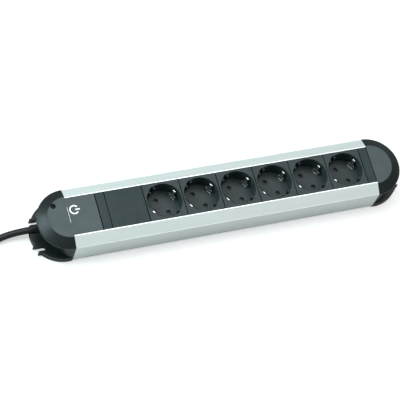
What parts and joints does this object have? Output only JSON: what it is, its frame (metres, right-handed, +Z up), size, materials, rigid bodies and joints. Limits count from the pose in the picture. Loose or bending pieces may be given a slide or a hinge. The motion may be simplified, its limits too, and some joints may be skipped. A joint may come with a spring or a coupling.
{
  "type": "desk power strip",
  "caption": "Long aluminium power strip with earthed sockets turned across it, a blank module, round black end caps with slotted feet, a mains lead and an angled plug.",
  "frame": {"origin": "centre of the strip's footprint, on the surface it lies on", "axes": "+X along the strip away from its cable, +Y across it, +Z up"},
  "size_m": [0.6225, 0.1107, 0.0513],
  "materials": {
    "anodised_aluminium": "satin anodised, fine drawing lines along the strip",
    "cap_black": "fine-grained black moulding",
    "plate_grey": "fine-grained dark grey moulding",
    "blank_grey": "smooth dark grey moulding",
    "socket_grey": "semi-matt dark grey moulding",
    "shutter_black": "smooth black moulding",
    "screw_black": "black oxide",
    "spring_steel": "bright wire",
    "nickel_clip": "nickel plated strip",
    "contact_brass": "plain strip",
    "carrier_white": "natural white moulding",
    "zinc_steel": "zinc plated",
    "core_brown": "soft PVC",
    "core_blue": "soft PVC",
    "core_green_yellow": "soft PVC with a green and yellow stripe",
    "cable_black": "smooth black PVC sheath",
    "plug_black": "moulded black PVC",
    "nickel_pins": "nickel plated brass"
  },
  "bodies": {
    "housing": {"aluminium_profile": "anodised_aluminium", "left_end_cap": "cap_black", "right_end_cap": "cap_black", "left_cap_dome": "cap_black", "right_cap_dome": "cap_black", "left_cover_plate": "plate_grey", "right_cover_plate": "plate_grey", "cover_screw": "screw_black", "left_spacer": "blank_grey", "right_spacer": "blank_grey", "blank_module": "blank_grey", "socket_1": "socket_grey", "socket_2": "socket_grey", "socket_3": "socket_grey", "socket_4": "socket_grey", "socket_5": "socket_grey", "socket_6": "socket_grey", "shutter_spring_1": "spring_steel", "shutter_spring_2": "spring_steel", "shutter_spring_3": "spring_steel", "shutter_spring_4": "spring_steel", "shutter_spring_5": "spring_steel", "shutter_spring_6": "spring_steel", "earth_clip_1": "nickel_clip", "earth_clip_2": "nickel_clip", "earth_clip_3": "nickel_clip", "earth_clip_4": "nickel_clip", "earth_clip_5": "nickel_clip", "earth_clip_6": "nickel_clip", "live_rail": "contact_brass", "neutral_rail": "contact_brass", "earth_rail": "contact_brass", "contact_carrier": "carrier_white", "terminal_block": "carrier_white", "terminal_screws": "zinc_steel", "live_core": "core_brown", "neutral_core": "core_blue", "earth_core": "core_green_yellow", "cable_sheath_end": "cable_black", "strain_relief": "cable_black", "cable_clamp": "cap_black", "cable_clamp_screws": "zinc_steel", "end_cap_screws": "zinc_steel", "cord_lead": "cable_black", "cord_coil": "cable_black", "cord_tail": "cable_black", "plug_body": "plug_black", "plug_pins": "nickel_pins", "plug_earth_contacts": "nickel_pins"},
    "shutter_body_1": {"shutter_1": "shutter_black"},
    "shutter_body_2": {"shutter_2": "shutter_black"},
    "shutter_body_3": {"shutter_3": "shutter_black"},
    "shutter_body_4": {"shutter_4": "shutter_black"},
    "shutter_body_5": {"shutter_5": "shutter_black"},
    "shutter_body_6": {"shutter_6": "shutter_black"}
  },
  "joints": [
    {"name": "shutter_turn_1", "type": "hinge", "parent": "housing", "child": "shutter_body_1", "pos_m": [-0.0684, 0, 0.0189], "axis": [0, 0, 1], "range_deg": [0, 35], "stiffness_Nm_per_rad": 0.004, "springref_deg": -11.46},
    {"name": "shutter_turn_2", "type": "hinge", "parent": "housing", "child": "shutter_body_2", "pos_m": [-0.026, 0, 0.0189], "axis": [0, 0, 1], "range_deg": [0, 35], "stiffness_Nm_per_rad": 0.004, "springref_deg": -11.46},
    {"name": "shutter_turn_3", "type": "hinge", "parent": "housing", "child": "shutter_body_3", "pos_m": [0.0164, 0, 0.0189], "axis": [0, 0, 1], "range_deg": [0, 35], "stiffness_Nm_per_rad": 0.004, "springref_deg": -11.46},
    {"name": "shutter_turn_4", "type": "hinge", "parent": "housing", "child": "shutter_body_4", "pos_m": [0.0588, 0, 0.0189], "axis": [0, 0, 1], "range_deg": [0, 35], "stiffness_Nm_per_rad": 0.004, "springref_deg": -11.46},
    {"name": "shutter_turn_5", "type": "hinge", "parent": "housing", "child": "shutter_body_5", "pos_m": [0.1012, 0, 0.0189], "axis": [0, 0, 1], "range_deg": [0, 35], "stiffness_Nm_per_rad": 0.004, "springref_deg": -11.46},
    {"name": "shutter_turn_6", "type": "hinge", "parent": "housing", "child": "shutter_body_6", "pos_m": [0.1436, 0, 0.0189], "axis": [0, 0, 1], "range_deg": [0, 35], "stiffness_Nm_per_rad": 0.004, "springref_deg": -11.46}
  ]
}
